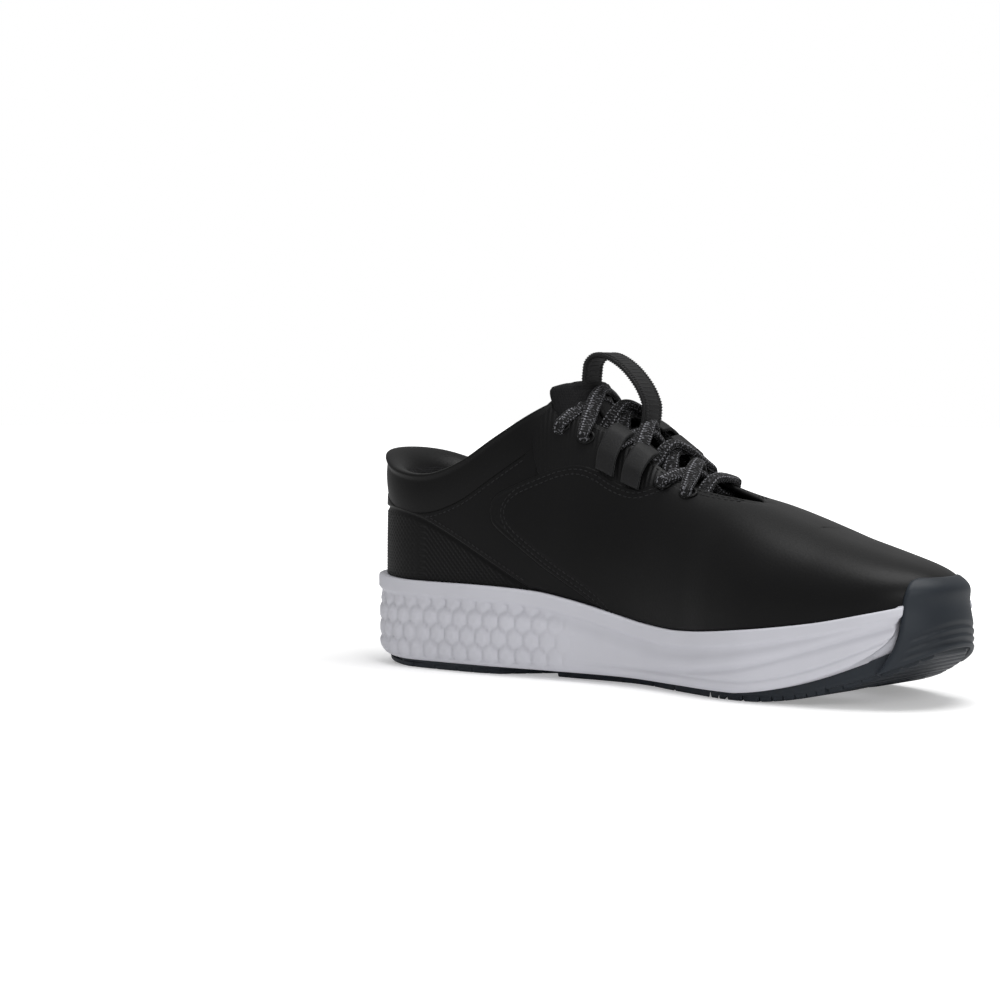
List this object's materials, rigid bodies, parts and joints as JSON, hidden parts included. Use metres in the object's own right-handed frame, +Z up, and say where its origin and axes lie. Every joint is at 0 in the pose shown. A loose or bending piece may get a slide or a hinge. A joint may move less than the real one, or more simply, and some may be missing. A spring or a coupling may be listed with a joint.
{
  "type": "golf shoe",
  "caption": "Left spikeless golf shoe: smooth black leather upper with ribbed facings and flecked lace, pale sculpted foam midsole and dark rubber outsole with white inserts.",
  "frame": {"origin": "on the straight middle line of the heel, half way along the shoe, at the ground it stands on", "axes": "+X from heel to toe, +Y to the outer side of the foot, +Z up"},
  "size_m": [0.3, 0.1037, 0.1401],
  "materials": {
    "rubber_slate": "satin moulded rubber",
    "plate_white": "matte moulded",
    "foam_white": "soft matte foam skin",
    "board": "needled board",
    "sockliner": "brushed cloth on foam",
    "smooth_leather": "semi-matte smooth",
    "lining_cloth": "knitted mesh",
    "stiffener": "thermoplastic sheet",
    "knurled_synthetic": "embossed diamond grid",
    "ribbed_synthetic": "fine embossed ribs",
    "webbing": "ribbed webbing",
    "foam_soft": "open cell foam",
    "tongue_textile": "padded, woven face",
    "lace_cord": "braided with pale flecks",
    "aglet_film": "clear film over black cord"
  },
  "bodies": {
    "rearfoot": {"outsole_heel": "rubber_slate", "outsole_forefoot_rear": "rubber_slate", "forefoot_insert_rear": "plate_white", "midsole_rear": "foam_white", "strobel_board_rear": "board", "sockliner_rear": "sockliner", "vamp_rear": "smooth_leather", "vamp_crease": "smooth_leather", "vamp_lining_rear": "lining_cloth", "vamp_lining_crease": "lining_cloth", "heel_counter": "stiffener", "heel_panel": "knurled_synthetic", "quarter_medial": "smooth_leather", "quarter_lateral": "smooth_leather", "quarter_lining": "lining_cloth", "facing_medial": "ribbed_synthetic", "facing_lateral": "ribbed_synthetic", "lace_loops_medial": "webbing", "lace_loops_lateral": "webbing", "collar_foam": "foam_soft", "collar_lining": "lining_cloth", "tongue": "tongue_textile", "tongue_lining": "lining_cloth", "tongue_webbing": "webbing", "lace": "lace_cord", "aglet_medial": "aglet_film", "aglet_lateral": "aglet_film"},
    "forefoot": {"outsole_forefoot_front": "rubber_slate", "forefoot_insert_front": "plate_white", "midsole_front": "foam_white", "strobel_board_front": "board", "sockliner_front": "sockliner", "vamp_front": "smooth_leather", "vamp_lining_front": "lining_cloth", "toe_puff": "stiffener"},
    "pull_loop_body": {"pull_loop": "webbing"}
  },
  "joints": [
    {"name": "forefoot_flex", "type": "hinge", "parent": "rearfoot", "child": "forefoot", "pos_m": [0.071, 0, 0.027], "axis": [0, -1, 0], "range_deg": [0, 25], "stiffness_Nm_per_rad": 3, "deforming": ["vamp_crease", "vamp_lining_crease"]},
    {"name": "pull_loop_swing", "type": "hinge", "parent": "rearfoot", "child": "pull_loop_body", "pos_m": [-0.038, 0, 0.1318], "axis": [0.891, 0, -0.454], "range_deg": [-18, 18], "stiffness_Nm_per_rad": 0.02}
  ]
}
